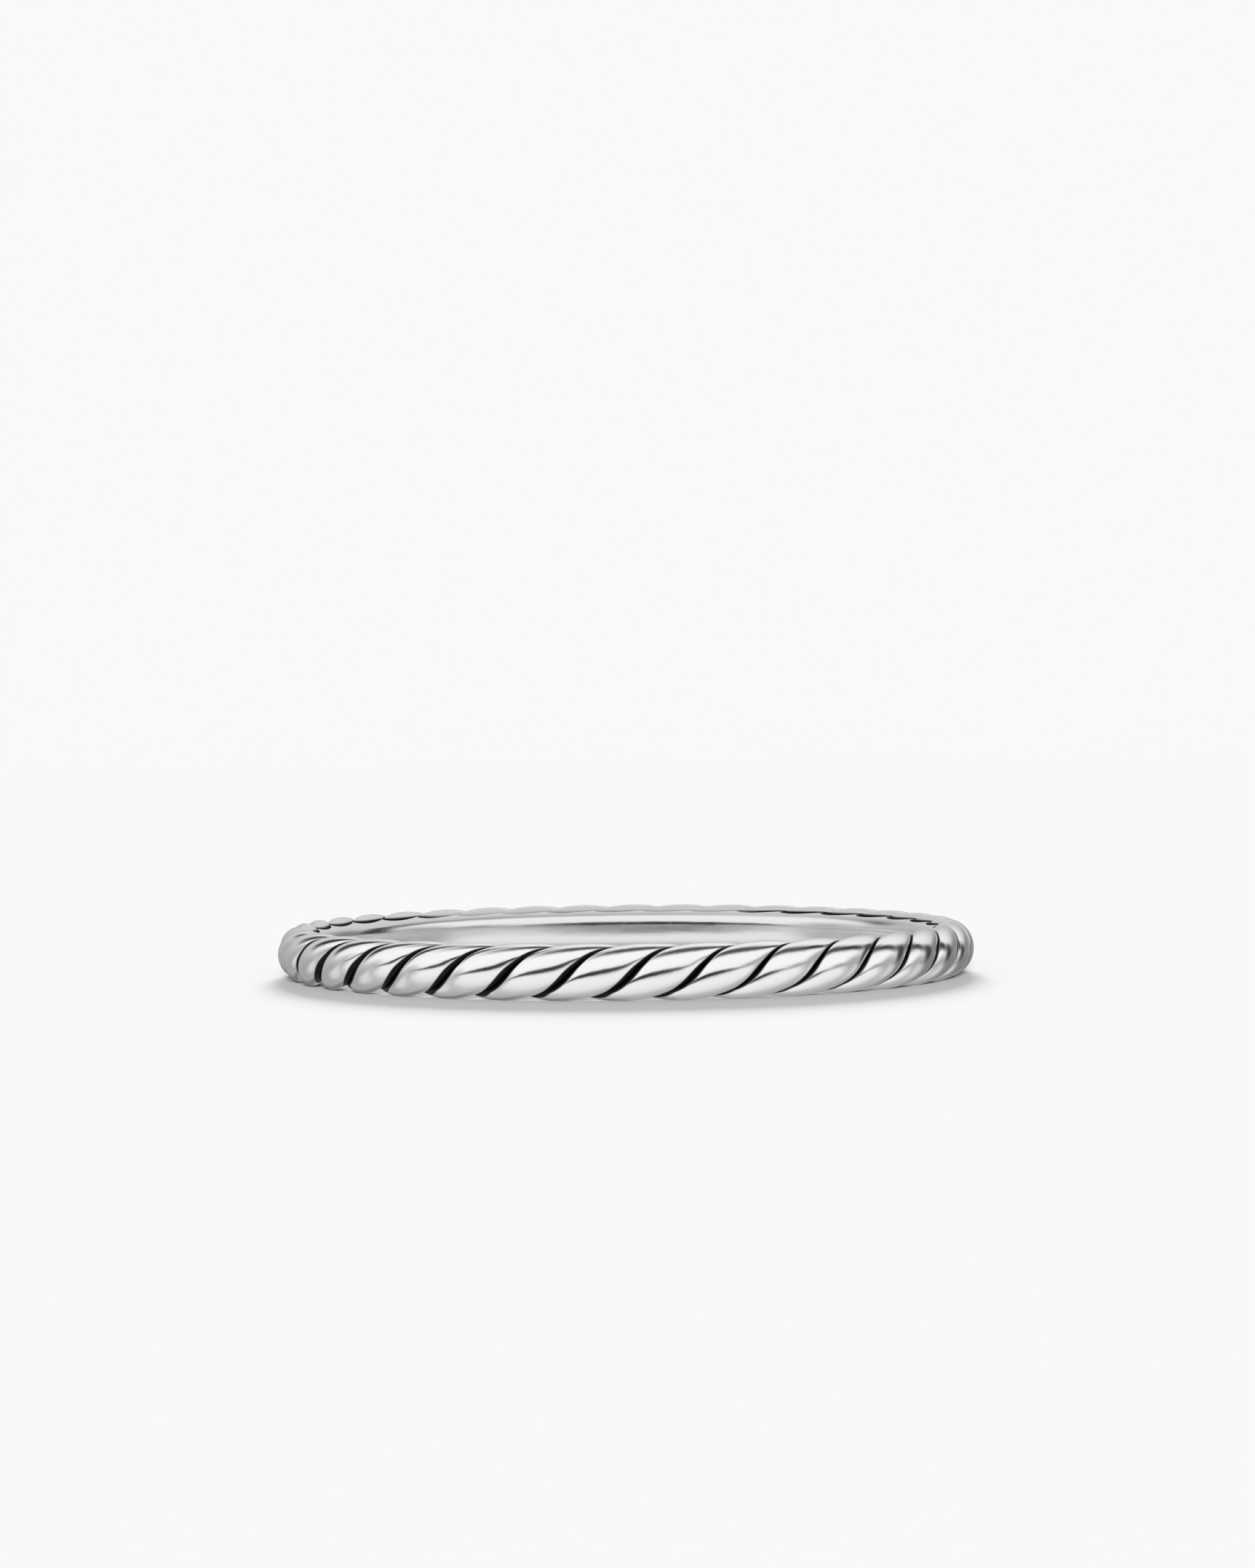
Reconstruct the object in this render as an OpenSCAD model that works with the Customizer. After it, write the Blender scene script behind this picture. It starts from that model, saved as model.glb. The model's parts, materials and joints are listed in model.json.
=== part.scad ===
// Rope twist ring: one cast band whose outside is a twisted rope and whose finger side is smooth.
// Millimetres. The ring lies flat, its lowest crowns at Z = 0, with +Z along the finger hole.

/* [Finger hole] */
// Inner diameter, measured across the straight wall of the finger hole
finger_d = 17.3; // [14:0.1:22]
// Height of the straight wall inside the finger hole, before it rounds away
land_h = 0.7; // [0.4:0.05:0.9]

/* [Band] */
// Thickness of the band, from the finger hole to the crowns of the rope
band_t = 1.37; // [1.25:0.01:2]
// Height of the band, across the crowns of the rope
band_h = 1.5; // [1.35:0.01:2.4]
// Thickness of the rope alone, which runs over the lining
rope_t = 1.34; // [1.1:0.01:1.6]
// Height of the smooth lining, which shows below the crowns on the finger side
lining_h = 1.18; // [1:0.01:1.3]
// Width over which the lining's edge rounds down into the grooves
lining_edge_w = 0.2; // [0.1:0.01:0.4]
// Squareness of the lining's section, where 2 is an ellipse
lining_square = 3.5; // [2.5:0.1:5]

/* [Twist] */
// Turns of the rope met on one way round the ring
turn_n = 37; // [24:1:40]
// Strands that are twisted together
strand_n = 3; // [2:1:4]
// Depth of the grooves between the turns, on the outer side and below
groove_d = 0.27; // [0.1:0.01:0.34]
// Depth of the grooves over the top of the band, where they are shallower
groove_top_d = 0.15; // [0.1:0.01:0.34]
// Fullness of each turn from groove to groove, where 2 is an ellipse
turn_full = 2; // [1.8:0.1:3.4]
// Part of a turn by which a groove steepens as it crosses the outer side
groove_sway = 0.09; // [0:0.01:0.1]
// Angle of the first groove from +X, on the outer side
first_groove_a = -1.4; // [-5:0.1:5]
// Depth by which the rope sinks under the lining at the finger side
rope_dip = 0.17; // [0.1:0.01:0.25]

/* [Hidden] */

// Places along one turn where its surface is sampled, as shares from groove to groove
turn_steps = [0, 0.05, 0.12, 0.25, 0.5, 0.75, 0.88, 0.95];
// Strips of surface across the rope, across each edge of the lining and across its middle
rope_strips = 12;
edge_strips = 2;
lining_strips = 4;
// Strips on one whole way round the section
strip_n = rope_strips + 2 * edge_strips + lining_strips;
// Angle by which the middle of the lining starts beyond the highest crease
lining_start_a = 8;
// Section angle at which the rope starts to sink towards the finger side
dip_start_a = 120;
// Sines of the section angles between which the grooves change to their depth over the top
top_start_share = 0.3;
top_full_share = 0.95;
// Section angles between which a crease can lie, and the halvings that find it
crease_low_a = 10;
crease_high_a = 176;
crease_halvings = 24;
// Sides of the finger hole's wall when it is drawn
hole_fn = 240;

step_n = len(turn_steps);
column_n = turn_n * step_n;
pitch_a = 360 / turn_n;
finger_r = finger_d / 2;
rope_rx = rope_t / 2;
rope_rz = band_h / 2;
// Radius of the rope's centre line
ring_r = finger_r + band_t - rope_rx;
// Reach of the lining towards the axis, so that the hole cuts a straight wall of the stated height
land_share = land_h / lining_h;
lining_rx = (band_t - rope_rx) / pow(1 - pow(land_share, lining_square), 1 / lining_square);
lining_rz = lining_h / 2;

// Section angles run from 0 on the outer side, over 90 at the top, to 180 on the finger side.
// A share of 1 lies on the rope's crown.

// How far a place along a turn is sunk: 0 on the crown and 1 in the groove
function groove_share(step) =
    let (off = abs(2 * step - 1))
    1 - pow(1 - pow(off, turn_full), 1 / turn_full);

function rope_dip_share(a) =
    let (past = max(0, cos(dip_start_a) - cos(a)) / (1 + cos(dip_start_a)))
    rope_dip / rope_rx * past * past;

// Depth of the grooves at a section angle, which eases into the depth over the top
function groove_depth(a) =
    let (part = min(1, max(0, (sin(a) - top_start_share) / (top_full_share - top_start_share))))
    groove_d + (groove_top_d - groove_d) * part * part * (3 - 2 * part);

function rope_share(a, step) =
    1 - groove_depth(a) / rope_rx * groove_share(step) - rope_dip_share(a);

function lining_share(a) =
    let (inward = cos(a) < 0)
    let (power = inward ? lining_square : 2)
    let (reach = inward ? lining_rx : lining_edge_w)
    let (across = pow(abs(rope_rx * cos(a)) / reach, power))
    let (up = pow(abs(rope_rz * sin(a)) / lining_rz, power))
    pow(across + up, -1 / power);

// Section angle from the outer side to the crease where the rope meets the lining, found by
// halving. A side of 1 is the crease at the top, and of -1 the crease below.
function crease_a(step, side, low = crease_low_a, high = crease_high_a, left = crease_halvings) =
    let (middle = (low + high) / 2)
    let (on_rope = rope_share(side * middle, step) > lining_share(middle))
    left == 0 ? middle
    : on_rope ? crease_a(step, side, middle, high, left - 1)
    : crease_a(step, side, low, middle, left - 1);

top_creases = [for (step = turn_steps) crease_a(step, 1)];
low_creases = [for (step = turn_steps) crease_a(step, -1)];
lining_a = max(concat(top_creases, low_creases)) + lining_start_a;

// Section angle of one line of points, on a turn's sample whose creases are given
function line_a(line, top, low) =
    let (edge_line = line - rope_strips)
    let (lining_line = edge_line - edge_strips)
    let (back_line = lining_line - lining_strips)
    line <= rope_strips ? -low + (top + low) * line / rope_strips
    : edge_line <= edge_strips ? top + (lining_a - top) * edge_line / edge_strips
    : lining_line <= lining_strips ? lining_a + (360 - 2 * lining_a) * lining_line / lining_strips
    : 360 - lining_a + (lining_a - low) * back_line / edge_strips;

// Angle round the ring by which a groove has moved on at a section angle
function twist_a(a) = pitch_a * (strand_n * a / 360 - groove_sway * sin(2 * a));

function surface_point(column, line) =
    let (turn = floor(column / step_n))
    let (sample = column % step_n)
    let (step = turn_steps[sample])
    let (a = line_a(line, top_creases[sample], low_creases[sample]))
    let (share = max(rope_share(a, step), lining_share(a)))
    let (round_a = first_groove_a + (turn + step) * pitch_a + twist_a(a))
    let (r = ring_r + share * rope_rx * cos(a))
    [r * cos(round_a), r * sin(round_a), share * rope_rz * sin(a)];

// The last line of one column is the first line of the column that is strand_n turns further on.
function point_index(column, line) =
    let (wrapped = line == strip_n ? column + strand_n * step_n : column)
    (wrapped % column_n) * strip_n + line % strip_n;

module twisted_body() {
    points = [
        for (column = [0 : column_n - 1])
        for (line = [0 : strip_n - 1])
        surface_point(column, line)
    ];
    faces = [
        for (column = [0 : column_n - 1])
        for (line = [0 : strip_n - 1])
        let (here = point_index(column, line))
        let (up = point_index(column, line + 1))
        let (beside = point_index(column + 1, line))
        let (across = point_index(column + 1, line + 1))
        for (face = [[here, up, across], [here, across, beside]])
        face
    ];
    polyhedron(points, faces);
}

module finger_hole() {
    cylinder(h = 2 * band_h, r = finger_r, center = true, $fn = hole_fn);
}

module rope_band() {
    color("silver")
    translate([0, 0, rope_rz])
    difference() {
        twisted_body();
        finger_hole();
    }
}

rope_band();
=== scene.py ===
"""Looks of the rope twist ring: polished silver with oxidised grooves, lying on a pale floor."""

import json
import math

import bpy
import numpy as np
from mathutils import Matrix, Vector


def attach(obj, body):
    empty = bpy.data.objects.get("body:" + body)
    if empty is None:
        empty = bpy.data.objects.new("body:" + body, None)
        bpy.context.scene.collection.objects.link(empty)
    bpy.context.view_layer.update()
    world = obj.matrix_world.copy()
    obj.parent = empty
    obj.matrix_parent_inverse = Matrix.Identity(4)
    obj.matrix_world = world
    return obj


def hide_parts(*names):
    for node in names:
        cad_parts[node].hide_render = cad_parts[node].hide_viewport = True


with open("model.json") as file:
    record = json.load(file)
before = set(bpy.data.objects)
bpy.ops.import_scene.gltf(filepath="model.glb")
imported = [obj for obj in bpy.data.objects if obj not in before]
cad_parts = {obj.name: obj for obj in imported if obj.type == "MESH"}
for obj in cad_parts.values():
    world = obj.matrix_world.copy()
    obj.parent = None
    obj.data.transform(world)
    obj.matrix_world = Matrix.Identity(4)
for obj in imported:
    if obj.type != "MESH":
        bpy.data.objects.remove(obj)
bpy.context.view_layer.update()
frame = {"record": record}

MM = 0.001

# The ring's sizes, in metres, as the frame has them or as its source names them
FINGER_R = frame["record"]["mounts"][0]["dims"]["r_mm"] * MM
BAND_T = 1.37 * MM
BAND_H = 1.5 * MM
ROPE_T = 1.34 * MM
LINING_H = 1.18 * MM
LINING_EDGE_W = 0.2 * MM
LINING_SQUARE = 3.5
LINING_EDGE_SQUARE = 2.0
TURN_N = 37
STRAND_N = 3
GROOVE_D = 0.27 * MM
GROOVE_TOP_D = 0.15 * MM
TURN_FULL = 2.0
GROOVE_SWAY = 0.09
FIRST_GROOVE_A = -1.4
ROPE_DIP = 0.17 * MM
DIP_START_A = 120.0
TOP_START_SHARE = 0.3
TOP_FULL_SHARE = 0.95

# Values that follow from the sizes
ROPE_RX = ROPE_T / 2
ROPE_RZ = BAND_H / 2
RING_R = FINGER_R + BAND_T - ROPE_RX
LINING_RX = BAND_T - ROPE_RX
LINING_RZ = LINING_H / 2
PITCH_A = 360.0 / TURN_N

# Points on the fine mesh: along each turn, and across the rope, each edge of the lining and its middle
TURN_SAMPLES = 40
ROPE_STRIPS = 42
EDGE_STRIPS = 4
LINING_STRIPS = 16
STRIP_N = ROPE_STRIPS + 2 * EDGE_STRIPS + LINING_STRIPS
# How much the columns of points crowd towards the grooves, where 0 is even
GROOVE_CROWDING = 0.8
# Section degrees beyond the highest crease at which the middle of the lining starts
LINING_START_A = 8.0
# Section angles between which a crease can lie, and the halvings that find it
CREASE_LOW_A = 10.0
CREASE_HIGH_A = 176.0
CREASE_HALVINGS = 30
# Section degrees past the crease that still count as rope, so that the points on the crease do
CREASE_MARGIN_A = 0.01

# Oxide along the grooves: section angle, and its reach in turns before and after the groove
OXIDE_REACH = (
    (-180, 0.03, 0.03),
    (-110, 0.1, 0.18),
    (-80, 0.1, 0.16),
    (-60, 0.13, 0.09),
    (-30, 0.14, 0.07),
    (0, 0.115, 0.075),
    (30, 0.075, 0.07),
    (60, 0.065, 0.05),
    (85, 0.06, 0.04),
    (115, 0.04, 0.03),
    (180, 0.02, 0.02),
)
# Turns over which that oxide begins and ends, to each side of its reach
OXIDE_SOFTNESS = 0.035
# Section angle to which that oxide runs on, where the crease lies nearer to the outer side
GROOVE_END_A = 100.0
# Oxide along the crease: its half width in section degrees, and the share of that where it is full
CREASE_OXIDE_A = 9.0
CREASE_FULL_SHARE = 0.3
# Places round the ring where polishing has worn the oxide: angle, half width, share that is left
GROOVE_WEAR = ((176.0, 26.0, 0.25), (-30.0, 50.0, 0.8), (92.0, 48.0, 0.1))
CREASE_WEAR = ((98.0, 34.0, 0.45), (-90.0, 40.0, 0.5))
# Shares of a worn place's half width between which the oxide comes back
WEAR_EDGE = (0.8, 1.2)
# Section angles over which the polish fades and comes back, and over which the painted shade inside
# begins
DULL_FROM_A = (84.0, 104.0)
DULL_TO_A = (138.0, 156.0)
INSIDE_SHADE_FROM_A = (135.0, 155.0)

# The silver's patterns: scale per metre, detail and, for streaks, their length over their width
CLOUD_NOISE = (700.0, 3.0)
FINE_NOISE = (9000.0, 3.0)
WAVE_STREAKS = (4500.0, 1.0, 6.0)
SCRATCH_STREAKS = (60000.0, 3.0, 25.0)
# How much the cloud pattern adds to the oxide or takes from it, around the pattern's middle, and the
# sums between which the silver turns black
OXIDE_PATCHES = 0.35
PATTERN_MIDDLE = 0.5
OXIDE_RAMP = (0.15, 0.85)
# Colours between which the cloud pattern varies the silver, and the fine one the oxide
SILVER_TINTS = ((0.93, 0.93, 0.925, 1), (0.965, 0.965, 0.96, 1))
OXIDE_TINTS = ((0.006, 0.006, 0.006, 1), (0.03, 0.03, 0.032, 1))
# Grey multiplied into the silver inside: painted shade for the shaded table that the inside reflects
INSIDE_SHADE_TINT = (0.9, 0.9, 0.9, 1)
# Roughness: two levels of a pattern and the roughness at each, and what oxide and dullness add
CLOUD_ROUGHNESS = (0.3, 0.7, 0.12, 0.16)
SCRATCH_ROUGHNESS = (0.5, 0.75, 0.0, 0.05)
OXIDE_ROUGHNESS = 0.35
DULL_ROUGHNESS = 0.45
# Depth of the polish's soft waves along each strand, and of its fine scratches
WAVE_DEPTH = 0.003 * MM
SCRATCH_DEPTH = 0.00006 * MM

# The floor's paper, whose tooth is a scale per metre and a detail, and half the floor's side
PAPER_TOOTH = (3000.0, 2.0)
PAPER_TINTS = ((0.895, 0.895, 0.895, 1), (0.905, 0.905, 0.905, 1))
PAPER_ROUGHNESS = 0.9
FLOOR_R = 0.6

# The camera: the photo's size in pixels, where the ring's centre lands, and how the ring is seen
PHOTO_W = 1725
PHOTO_H = 2156
RING_X = 860.3
RING_Y = 1303.4
VIEW_ELEVATION = 3.87
VIEW_DISTANCE = 94.2 * MM
VIEW_ROLL = 0.53
OUTER_R_PIXELS = 475.0
SENSOR = 36.0
# What the camera's distance is divided and multiplied by, for the nearest and farthest that it sees
CLIP_FACTOR = 100

# Light: radiance of the backdrop as the camera sees it, and of the fill that reaches the floor
BACKDROP = 0.947
FILL = 0.12

# The studio as the silver reflects it, in degrees. Over runs from the front horizon at 0, by 90
# overhead, to 180 at the back, and below 0 for the table. Across runs from left to right.
# Brightness over the top, at the middle:
STUDIO_OVER = (
    (-180, 0.44),
    (-150, 0.38),
    (-120, 0.42),
    (-90, 0.52),
    (-60, 0.8),
    (-25, 0.9),
    (5, 0.88),
    (20, 0.94),
    (70, 0.97),
    (110, 0.92),
    (135, 0.84),
    (158, 0.6),
    (180, 0.44),
)
# Panels and flags laid over it: across, over, half width, half height, slant, softness, brightness
STUDIO_PANELS = (
    (-90, 0, 17, 400, 0, 0.6, 0.5),         # left end of the room
    (90, 0, 17, 400, 0, 0.6, 0.42),         # right end of the room
    (70, 10, 20, 16, 0, 0.6, 0.38),         # dark grey low in front, at the right
    (-64, -122, 18, 24, 0, 0.6, 0.7),       # lighter table at the left
    (64, -124, 18, 22, 0, 0.6, 0.65),       # lighter table at the right
    (5, -3, 30, 10, 0, 0.6, 0.68),          # grey edge of the table in front
    (-22, 4.2, 70, 9.8, 0, 0.35, 0.02),     # long black flag in front
    (8, 94, 34, 16.5, 0, 0.6, 0.08),        # black flag overhead
    (-34, 133, 25, 13, -41, 0.5, 0.04),     # its left wing
    (44, 106, 25, 10, 46, 0.5, 0.03),       # its right wing
    (-12, -150, 9, 40, 0, 0.6, 0.2),        # dark strip on the table, towards the back
    (40, -160, 26, 22, 0, 0.6, 0.22),       # dark table at the back, at the right
    (42, 173, 24, 14, 0, 0.6, 0.25),        # dark low at the back, at the right
    (60, 160, 10, 40, -8, 0.5, 0.05),       # tall black flag at the back, at the right
    (60, -200, 10, 40, -8, 0.5, 0.05),      # the same one, where over has wrapped round
)
# Degrees that the curve of brightness covers, and where on it the front horizon lies
OVER_SPAN = 360.0
CURVE_MIDDLE = 0.5
# Degrees in a radian
DEGREES = 180 / math.pi

# Two lamps that only light the floor: strength, then elevation, softness and azimuth in degrees
BACK_LAMP = (4.19, 20.5, 18.0, 180.0)
FRONT_LAMP = (5.94, 14.0, 16.0, 0.0)


def smooth(low, high, value):
    """A smooth step from 0, where value is low, to 1, where it is high."""
    share = np.clip((value - low) / (high - low), 0, 1)
    return share * share * (3 - 2 * share)


def groove_share(step):
    """How far a place along a turn is sunk: 0 on the crown and 1 in the groove."""
    off = np.abs(2 * step - 1)
    return 1 - np.maximum(1 - off ** TURN_FULL, 0) ** (1 / TURN_FULL)


def rope_share(a, step):
    """How far the rope reaches at a section angle, where 1 is its crown."""
    dip_start = math.cos(math.radians(DIP_START_A))
    past = np.maximum(0, dip_start - np.cos(a))
    dip = ROPE_DIP / ROPE_RX * (past / (1 + dip_start)) ** 2
    top = smooth(TOP_START_SHARE, TOP_FULL_SHARE, np.sin(a))
    depth = GROOVE_D + (GROOVE_TOP_D - GROOVE_D) * top
    return 1 - depth / ROPE_RX * groove_share(step) - dip


def lining_share(a):
    """How far the lining reaches at a section angle, on the same scale."""
    inward = np.cos(a) < 0
    power = np.where(inward, LINING_SQUARE, LINING_EDGE_SQUARE)
    reach = np.where(inward, LINING_RX, LINING_EDGE_W)
    across = (np.abs(ROPE_RX * np.cos(a)) / reach) ** power
    up = (np.abs(ROPE_RZ * np.sin(a)) / LINING_RZ) ** power
    return (across + up) ** (-1 / power)


def crease_angles(steps, side):
    """Section angle, in radians from the outer side, where the rope meets the lining at each
    place along a turn. A side of 1 is the crease at the top, and of -1 the crease below."""
    low = np.full(len(steps), math.radians(CREASE_LOW_A))
    high = np.full(len(steps), math.radians(CREASE_HIGH_A))
    for _ in range(CREASE_HALVINGS):
        middle = (low + high) / 2
        on_rope = rope_share(side * middle, steps) > lining_share(middle)
        low = np.where(on_rope, middle, low)
        high = np.where(on_rope, high, middle)
    return (low + high) / 2


def section_lines(top, low, lining_a):
    """Section angles of the mesh's lines on one column, from crease to crease and back round."""
    rope = np.linspace(-low, top, ROPE_STRIPS, endpoint=False)
    edge = np.linspace(top, lining_a, EDGE_STRIPS, endpoint=False)
    lining = np.linspace(lining_a, 2 * math.pi - lining_a, LINING_STRIPS, endpoint=False)
    back = np.linspace(2 * math.pi - lining_a, 2 * math.pi - low, EDGE_STRIPS, endpoint=False)
    return np.concatenate([rope, edge, lining, back])


def unworn(angle, places):
    """Share of the oxide that the worn places leave at each angle round the ring."""
    left = np.ones_like(angle)
    edge_start, edge_end = WEAR_EDGE
    for place, reach, share in places:
        off = np.degrees(np.abs((angle - math.radians(place) + math.pi) % (2 * math.pi) - math.pi))
        left = left * (share + (1 - share) * smooth(edge_start * reach, edge_end * reach, off))
    return left


def groove_oxide(section_a, step, angle):
    """Oxide along the grooves, which reaches further on one side of them than on the other."""
    wear = unworn(angle, GROOVE_WEAR)
    places, before, after = zip(*OXIDE_REACH)
    start = -np.interp(section_a, places, before) * wear
    end = np.interp(section_a, places, after) * wear
    past = np.where(step > 0.5, step - 1, step)
    begun = smooth(start - OXIDE_SOFTNESS, start + OXIDE_SOFTNESS, past)
    return begun * (1 - smooth(end - OXIDE_SOFTNESS, end + OXIDE_SOFTNESS, past))


def crease_oxide(off_crease, angle):
    """Oxide along the crease between the rope and the lining."""
    near = 1 - smooth(CREASE_FULL_SHARE * CREASE_OXIDE_A, CREASE_OXIDE_A, np.abs(off_crease))
    return near * unworn(angle, CREASE_WEAR)


def section_grid():
    """Section angles of the points on each column of one turn, in radians, the columns' places
    along the turn, and the section angles of their creases at the top and below."""
    even = np.arange(TURN_SAMPLES) / TURN_SAMPLES
    steps = even - GROOVE_CROWDING * np.sin(2 * math.pi * even) / (2 * math.pi)
    tops = crease_angles(steps, 1)
    lows = crease_angles(steps, -1)
    lining_a = max(tops.max(), lows.max()) + math.radians(LINING_START_A)
    a = np.array([section_lines(top, low, lining_a) for top, low in zip(tops, lows)])
    return a, steps[:, None], tops[:, None], lows[:, None]


def round_angles(a, step):
    """Angle round the ring, in radians, of each point of each turn."""
    round_a = PITCH_A * (step + STRAND_N * a / (2 * math.pi) - GROOVE_SWAY * np.sin(2 * a))
    turns = np.arange(TURN_N)[:, None, None]
    return np.radians(FIRST_GROOVE_A + turns * PITCH_A + round_a)


def ring_points(a, step, angle):
    """Where the points lie, on the rope or on the lining, whichever reaches further."""
    share = np.maximum(rope_share(a, step), lining_share(a))
    r = RING_R + share * ROPE_RX * np.cos(a)
    z = ROPE_RZ + share * ROPE_RZ * np.sin(a)
    return np.stack([r * np.cos(angle), r * np.sin(angle), np.broadcast_to(z, angle.shape)], -1)


def look_shares(section_a, crease_a, step, angle):
    """Oxide, dullness and painted shade inside at each point, from 0 to 1."""
    off_outer = np.abs(section_a)
    in_groove = off_outer < np.maximum(crease_a, GROOVE_END_A)
    grooves = groove_oxide(section_a, step, angle) * in_groove
    crease = crease_oxide(off_outer - crease_a, angle)
    dull = smooth(*DULL_FROM_A, off_outer) * (1 - smooth(*DULL_TO_A, off_outer))
    # Painted shade: the inside is greyed to stand in for the shaded table it reflects
    inside_shade = smooth(*INSIDE_SHADE_FROM_A, off_outer)
    return {"oxide": np.maximum(grooves, crease), "dull": dull, "inside_shade": inside_shade}


def grain_places(a, step, angle, on_rope, z):
    """Places in the pattern of streaks: along and across the strand or, on the lining, round and
    across the band. Each turn has its own layer of the pattern."""
    along = np.where(on_rope, a * ROPE_RX * 2, angle * FINGER_R)
    across = np.where(on_rope, step * math.radians(PITCH_A) * RING_R, z)
    layers = np.arange(TURN_N)[:, None, None] * BAND_H
    return np.stack(np.broadcast_arrays(along, across, layers), -1)


def ring_surface():
    """Points of the ring, a column for each place along the turns, and what the material needs to
    know of each."""
    a, step, top, low = section_grid()
    angle = round_angles(a, step)
    points = ring_points(a, step, angle)
    section_a = np.degrees((a + math.pi) % (2 * math.pi) - math.pi)
    crease_a = np.degrees(np.where(section_a > 0, top, low)) + CREASE_MARGIN_A
    on_rope = np.abs(section_a) < crease_a
    grain = grain_places(a, step, angle, on_rope, points[..., 2])
    shares = look_shares(section_a, crease_a, step, angle)
    shares = {name: np.broadcast_to(share, angle.shape) for name, share in shares.items()}
    return points.reshape(-1, 3), shares, grain


def ring_faces():
    """Quads between neighbouring columns. The last line of a column is the first line of the
    column that lies as many turns further on as there are strands."""
    column_n = TURN_N * TURN_SAMPLES
    column, line = np.meshgrid(np.arange(column_n), np.arange(STRIP_N), indexing="ij")

    def index(column, line):
        wrapped = np.where(line == STRIP_N, column + STRAND_N * TURN_SAMPLES, column)
        return (wrapped % column_n) * STRIP_N + line % STRIP_N

    corners = [index(column, line), index(column + 1, line),
               index(column + 1, line + 1), index(column, line + 1)]
    return np.stack(corners, -1).reshape(-1, 4)


def mesh_object(name, points, faces):
    """A smooth mesh, linked into the scene."""
    mesh = bpy.data.meshes.new(name)
    mesh.from_pydata(points.tolist(), [], faces.tolist())
    mesh.update()
    mesh.shade_smooth()
    made = bpy.data.objects.new(name, mesh)
    bpy.context.scene.collection.objects.link(made)
    return made


def add_attribute(mesh, name, kind, field, values):
    """Values at the mesh's points that its material can read."""
    layer = mesh.attributes.new(name, kind, "POINT")
    layer.data.foreach_set(field, np.ascontiguousarray(values, np.float32).ravel())


def make_ring():
    """The whole ring, in place of the frame's own."""
    points, shares, grain = ring_surface()
    ring = mesh_object("rope_ring", points, ring_faces())
    for name, share in shares.items():
        add_attribute(ring.data, name, "FLOAT", "value", share)
    add_attribute(ring.data, "grain", "FLOAT_VECTOR", "vector", grain)
    ring.data.materials.append(silver_material())
    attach(ring, "root")
    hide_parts("rope_band")


def node(tree, kind, **values):
    """A new node. Names that match one of its settings set it, and the rest set its inputs."""
    made = tree.nodes.new(kind)
    for name, value in values.items():
        if hasattr(made, name):
            setattr(made, name, value)
        else:
            made.inputs[name].default_value = value
    return made


def give(tree, value, socket):
    """Links another node's output to a socket, or sets the socket to a plain value."""
    if isinstance(value, bpy.types.NodeSocket):
        tree.links.new(value, socket)
    else:
        socket.default_value = value


def math_of(tree, operation, first, second=0.0):
    """The result of one operation on numbers or other nodes' outputs."""
    made = node(tree, "ShaderNodeMath", operation=operation)
    give(tree, first, made.inputs[0])
    give(tree, second, made.inputs[1])
    return made.outputs[0]


def mix_of(tree, data_type, share, first, second, blend_type="MIX"):
    """First where share is 0, and second, or its blend with first, where share is 1."""
    made = node(tree, "ShaderNodeMix", data_type=data_type, blend_type=blend_type)
    tree.links.new(share, made.inputs["Factor"])
    give(tree, first, made.inputs["A"])
    give(tree, second, made.inputs["B"])
    return made.outputs["Result"]


def ramp_of(tree, value, low, high, start=0.0, end=1.0):
    """A smooth step from start, where value is low, to end, where it is high."""
    made = node(tree, "ShaderNodeMapRange", interpolation_type="SMOOTHSTEP")
    tree.links.new(value, made.inputs["Value"])
    for name, number in (("From Min", low), ("From Max", high), ("To Min", start), ("To Max", end)):
        made.inputs[name].default_value = number
    return made.outputs["Result"]


def noise_of(tree, place, scale, detail):
    """A cloudy pattern, from about 0 to 1."""
    made = node(tree, "ShaderNodeTexNoise", Scale=scale, Detail=detail)
    tree.links.new(place, made.inputs["Vector"])
    return made.outputs["Fac"]


def streaks_of(tree, grain, scale, detail, stretch):
    """The same pattern, drawn out along the grain."""
    mapping = node(tree, "ShaderNodeMapping", Scale=(1 / stretch, 1.0, 1.0))
    tree.links.new(grain, mapping.inputs["Vector"])
    return noise_of(tree, mapping.outputs[0], scale, detail)


def share_of(tree, name):
    """One of the shares that the ring's mesh holds at its points."""
    return node(tree, "ShaderNodeAttribute", attribute_name=name).outputs["Fac"]


def bumped(tree, height, depth):
    """A bump node, as deep as stated where the pattern runs from 0 to 1."""
    made = node(tree, "ShaderNodeBump", Strength=1.0, Distance=depth)
    tree.links.new(height, made.inputs["Height"])
    return made


def empty_tree(owner):
    """The node tree of a material or world, with nothing in it."""
    owner.use_nodes = True
    owner.node_tree.nodes.clear()
    return owner.node_tree


def silver_tint(tree, oxide, cloud):
    """Silver, greyed inside by painted shade, and the oxide's uneven black."""
    silver = mix_of(tree, "RGBA", cloud, *SILVER_TINTS)
    # Painted shade: the silver inside is multiplied by a grey
    shaded_silver = mix_of(tree, "RGBA", share_of(tree, "inside_shade"), silver, INSIDE_SHADE_TINT, "MULTIPLY")
    place = node(tree, "ShaderNodeTexCoord").outputs["Object"]
    black = mix_of(tree, "RGBA", noise_of(tree, place, *FINE_NOISE), *OXIDE_TINTS)
    return mix_of(tree, "RGBA", oxide, shaded_silver, black)


def silver_roughness(tree, oxide, cloud, scratch):
    """Polish, made rougher by scratches, by oxide and where the flank inside is dull."""
    cloudy = ramp_of(tree, cloud, *CLOUD_ROUGHNESS)
    polish = math_of(tree, "ADD", cloudy, ramp_of(tree, scratch, *SCRATCH_ROUGHNESS))
    oxidised = math_of(tree, "ADD", polish, math_of(tree, "MULTIPLY", oxide, OXIDE_ROUGHNESS))
    dull = math_of(tree, "MULTIPLY", share_of(tree, "dull"), DULL_ROUGHNESS)
    return math_of(tree, "ADD", oxidised, dull)


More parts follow.
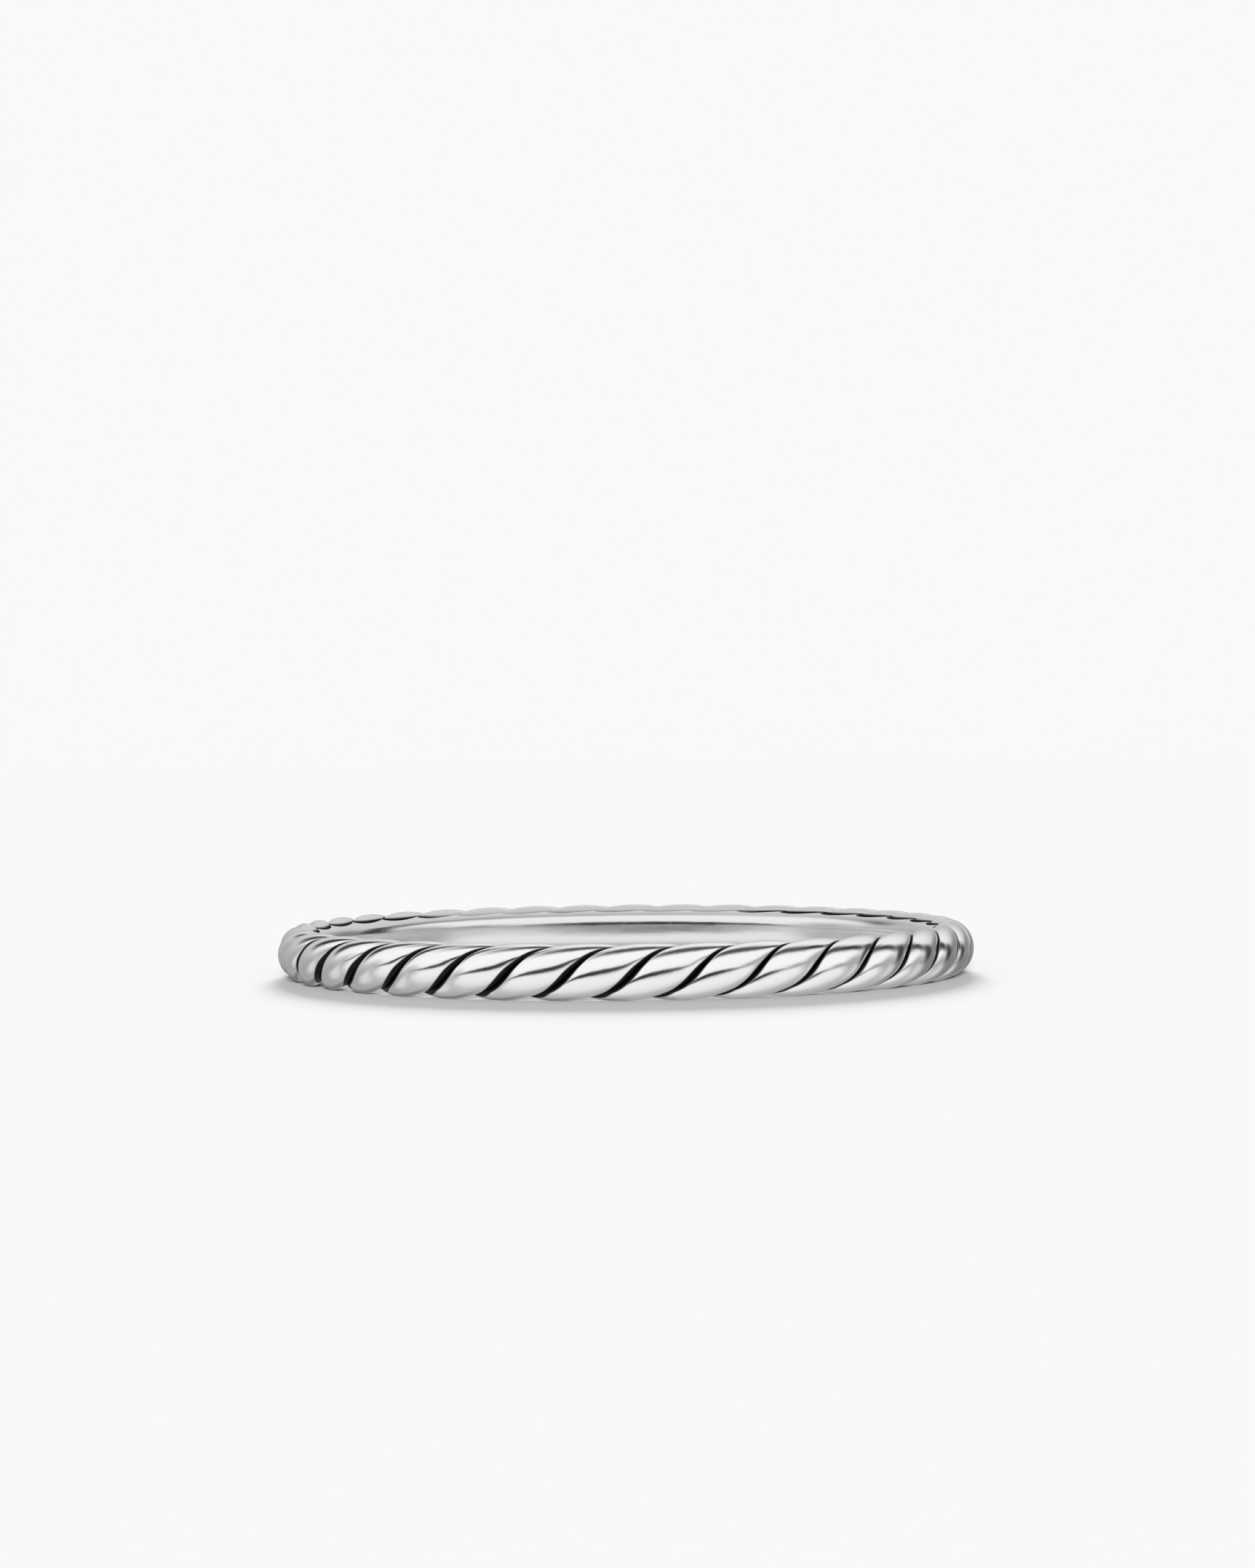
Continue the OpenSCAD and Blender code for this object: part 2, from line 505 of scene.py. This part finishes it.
def silver_material():
    """Polished silver with fine scratches, duller inside and greyed there by painted shade, and black
    oxide in grooves.
    """
    material = bpy.data.materials.new("silver")
    tree = empty_tree(material)
    links = tree.links
    place = node(tree, "ShaderNodeTexCoord").outputs["Object"]
    cloud = noise_of(tree, place, *CLOUD_NOISE)
    grain = node(tree, "ShaderNodeAttribute", attribute_name="grain").outputs["Vector"]
    scratch = streaks_of(tree, grain, *SCRATCH_STREAKS)
    off_middle = math_of(tree, "SUBTRACT", cloud, PATTERN_MIDDLE)
    patches = math_of(tree, "MULTIPLY", off_middle, OXIDE_PATCHES)
    oxide = ramp_of(tree, math_of(tree, "ADD", share_of(tree, "oxide"), patches), *OXIDE_RAMP)

    waves = bumped(tree, streaks_of(tree, grain, *WAVE_STREAKS), WAVE_DEPTH)
    scratches = bumped(tree, scratch, SCRATCH_DEPTH)
    links.new(waves.outputs["Normal"], scratches.inputs["Normal"])

    shader = node(tree, "ShaderNodeBsdfPrincipled", Metallic=1.0)
    links.new(silver_tint(tree, oxide, cloud), shader.inputs["Base Color"])
    links.new(silver_roughness(tree, oxide, cloud, scratch), shader.inputs["Roughness"])
    links.new(scratches.outputs["Normal"], shader.inputs["Normal"])
    output = node(tree, "ShaderNodeOutputMaterial")
    links.new(shader.outputs[0], output.inputs["Surface"])
    return material


def floor_material():
    """A pale matt paper sweep with a hardly visible tooth."""
    material = bpy.data.materials.new("pale_floor")
    material.use_nodes = True
    tree = material.node_tree
    shader = tree.nodes["Principled BSDF"]
    shader.inputs["Roughness"].default_value = PAPER_ROUGHNESS
    shader.inputs["Specular IOR Level"].default_value = 0.0
    place = node(tree, "ShaderNodeTexCoord").outputs["Object"]
    paper = mix_of(tree, "RGBA", noise_of(tree, place, *PAPER_TOOTH), *PAPER_TINTS)
    tree.links.new(paper, shader.inputs["Base Color"])
    return material


def make_floor():
    """A wide floor that the silver does not reflect, as the studio has its own table."""
    corners = np.array([(-1, -1, 0), (1, -1, 0), (1, 1, 0), (-1, 1, 0)]) * FLOOR_R
    floor = mesh_object("floor", corners, np.array([[0, 1, 2, 3]]))
    floor.data.materials.append(floor_material())
    floor.visible_glossy = False


def ray_place(tree):
    """A ray's direction in the studio: degrees across and degrees over."""
    parts = node(tree, "ShaderNodeSeparateXYZ")
    tree.links.new(node(tree, "ShaderNodeTexCoord").outputs["Generated"], parts.inputs[0])
    side, back, up = parts.outputs
    toward = math_of(tree, "MULTIPLY", back, -1.0)
    over = math_of(tree, "MULTIPLY", math_of(tree, "ARCTAN2", up, toward), DEGREES)
    across = math_of(tree, "MULTIPLY", math_of(tree, "ARCSINE", side), DEGREES)
    return across, over


def studio_curve(tree, over):
    """Brightness of the studio before anything is laid over it."""
    curve = node(tree, "ShaderNodeFloatCurve")
    points = curve.mapping.curves[0].points
    for point, (angle, brightness) in zip(points, (STUDIO_OVER[0], STUDIO_OVER[-1])):
        point.location = (angle / OVER_SPAN + CURVE_MIDDLE, brightness)
    for angle, brightness in STUDIO_OVER[1:-1]:
        points.new(angle / OVER_SPAN + CURVE_MIDDLE, brightness)
    curve.mapping.update()
    place = math_of(tree, "ADD", math_of(tree, "DIVIDE", over, OVER_SPAN), CURVE_MIDDLE)
    tree.links.new(place, curve.inputs["Value"])
    return curve.outputs["Value"]


def lay_panel(tree, studio, spot, x, y, half_width, half_height, slant, softness, brightness):
    """The studio with one soft oval laid over it."""
    mapping = node(tree, "ShaderNodeMapping", vector_type="TEXTURE", Location=(x, y, 0),
                   Rotation=(0, 0, math.radians(slant)), Scale=(half_width, half_height, 1))
    tree.links.new(spot, mapping.inputs["Vector"])
    length = node(tree, "ShaderNodeVectorMath", operation="LENGTH")
    tree.links.new(mapping.outputs[0], length.inputs[0])
    inside = ramp_of(tree, length.outputs["Value"], 1 - softness, 1 + softness, 1.0, 0.0)
    return mix_of(tree, "FLOAT", inside, studio, brightness)


def make_world():
    """The studio that the silver reflects. The camera itself sees the plain backdrop."""
    world = bpy.data.worlds.new("studio")
    bpy.context.scene.world = world
    tree = empty_tree(world)
    across, over = ray_place(tree)
    spot = node(tree, "ShaderNodeCombineXYZ")
    tree.links.new(across, spot.inputs["X"])
    tree.links.new(over, spot.inputs["Y"])
    studio = studio_curve(tree, over)
    for panel in STUDIO_PANELS:
        studio = lay_panel(tree, studio, spot.outputs[0], *panel)

    rays = node(tree, "ShaderNodeLightPath")
    off_camera = mix_of(tree, "FLOAT", rays.outputs["Is Diffuse Ray"], studio, FILL)
    radiance = mix_of(tree, "FLOAT", rays.outputs["Is Camera Ray"], off_camera, BACKDROP)
    light = node(tree, "ShaderNodeBackground", Color=(1, 1, 1, 1))
    tree.links.new(radiance, light.inputs["Strength"])
    output = node(tree, "ShaderNodeOutputWorld")
    tree.links.new(light.outputs[0], output.inputs["Surface"])


def make_lamp(name, strength, elevation, softness, azimuth):
    """A soft far lamp, seen in no reflection. Azimuth 0 is the camera's side."""
    lamp = bpy.data.lights.new(name, "SUN")
    lamp.energy = strength
    lamp.angle = math.radians(softness)
    made = bpy.data.objects.new(name, lamp)
    made.rotation_euler = (math.radians(90 - elevation), 0, math.radians(azimuth))
    made.visible_glossy = False
    bpy.context.scene.collection.objects.link(made)


def camera_place(focal_pixels):
    """Seen from the photo's angle, and turned so that the ring lands where it does there."""
    centre = Vector((0, 0, ROPE_RZ))
    rise = math.radians(VIEW_ELEVATION)
    away = Vector((0, -math.cos(rise), math.sin(rise)))
    aim = (-away).to_track_quat("-Z", "Y").to_matrix().to_4x4()
    pitch = math.atan((RING_Y - PHOTO_H / 2) / focal_pixels)
    yaw = math.atan((RING_X - PHOTO_W / 2) / focal_pixels)
    roll = Matrix.Rotation(math.radians(-VIEW_ROLL), 4, "Z")
    turn = Matrix.Rotation(yaw, 4, "Y") @ Matrix.Rotation(pitch, 4, "X")
    return Matrix.Translation(centre + away * VIEW_DISTANCE) @ aim @ roll @ turn


def make_camera():
    """A camera whose lens shows the ring as large as it is in the photo."""
    focal_pixels = OUTER_R_PIXELS * VIEW_DISTANCE / (FINGER_R + BAND_T)
    data = bpy.data.cameras.new("camera")
    data.sensor_width = SENSOR
    data.lens = focal_pixels * SENSOR / PHOTO_H
    data.clip_start = VIEW_DISTANCE / CLIP_FACTOR
    data.clip_end = VIEW_DISTANCE * CLIP_FACTOR
    camera = bpy.data.objects.new("camera", data)
    camera.matrix_world = camera_place(focal_pixels)
    bpy.context.scene.collection.objects.link(camera)
    bpy.context.scene.camera = camera


make_camera()
make_ring()
make_floor()
make_world()
make_lamp("back_lamp", *BACK_LAMP)
make_lamp("front_lamp", *FRONT_LAMP)

scene = bpy.context.scene
scene.view_settings.view_transform = "Standard"
scene.view_settings.look = "None"
scene.cycles.caustics_reflective = False
